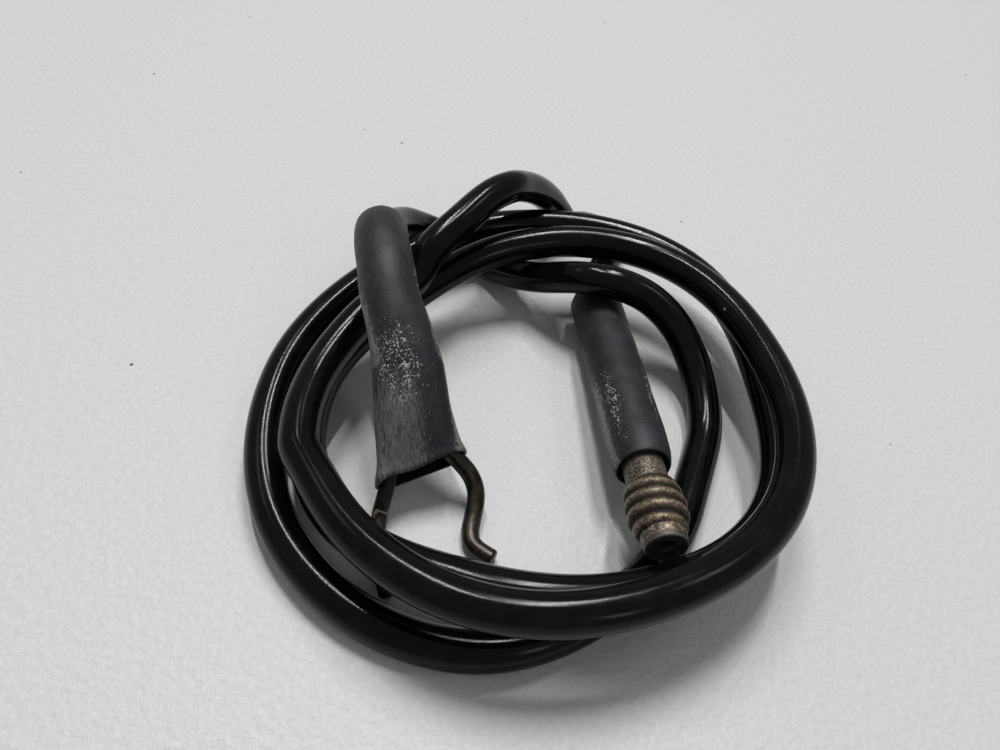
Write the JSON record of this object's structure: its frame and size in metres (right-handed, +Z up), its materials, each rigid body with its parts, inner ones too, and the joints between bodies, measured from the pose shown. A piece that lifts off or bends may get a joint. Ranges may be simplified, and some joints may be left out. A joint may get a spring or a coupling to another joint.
{
  "type": "cable shutter release",
  "caption": "Cable shutter release: jacketed cable in loose turns, threaded tip with a spring-loaded pin, and a flattened sleeve with two bare wires.",
  "frame": {"origin": "on the table, in the middle of the coil", "axes": "+Z up, +Y away from the viewer, +X to the viewer's right; the tip points towards -Y"},
  "size_m": [0.0592, 0.0696, 0.0186],
  "materials": {
    "jacket": "glossy black extruded plastic, dusty",
    "shrink_sleeve": "matte charcoal shrink sleeve, scuffed",
    "worn_bronze": "worn tan bronze crests, dark grime in the grooves",
    "neck_metal": "speckled grey and tan, worn plating",
    "dark_metal": "darkened, near black face",
    "bronze_wire": "brown-black patina with copper highlights",
    "pin_steel": "drawn wire",
    "plain_steel": "plain",
    "brass": "turned",
    "conduit": "close-wound flat wire",
    "inner_cable": "stranded"
  },
  "bodies": {
    "release": {"jacket_fork_lead": "jacket", "jacket_coil": "jacket", "jacket_tip_lead": "jacket", "conduit": "conduit", "core_cable": "inner_cable", "fork_sleeve": "shrink_sleeve", "fork_ferrule": "brass", "guide_tube": "plain_steel", "anchor_wire": "bronze_wire", "tip_sleeve": "shrink_sleeve", "tip_ferrule": "neck_metal", "threaded_collar": "worn_bronze", "nose_bush": "dark_metal", "stop_washer": "brass", "return_spring": "pin_steel"},
    "pin": {"release_pin": "pin_steel", "pin_collar": "plain_steel", "pin_crimp": "brass"},
    "push": {"push_wire": "bronze_wire", "wire_crimp": "plain_steel"}
  },
  "joints": [
    {"name": "pin_slide", "type": "slide", "parent": "release", "child": "pin", "axis": [0.1811, -0.9769, 0.1132], "range_m": [0, 0.003], "stiffness_N_per_m": 150, "springref_m": -0.004, "deforming": ["return_spring"]},
    {"name": "wire_slide", "type": "slide", "parent": "release", "child": "push", "axis": [-0.5721, 0.5721, 0.5878], "range_m": [0, 0.003]}
  ],
  "couplings": [
    {"joint": "wire_slide", "follows": "pin_slide", "ratio": 1}
  ]
}
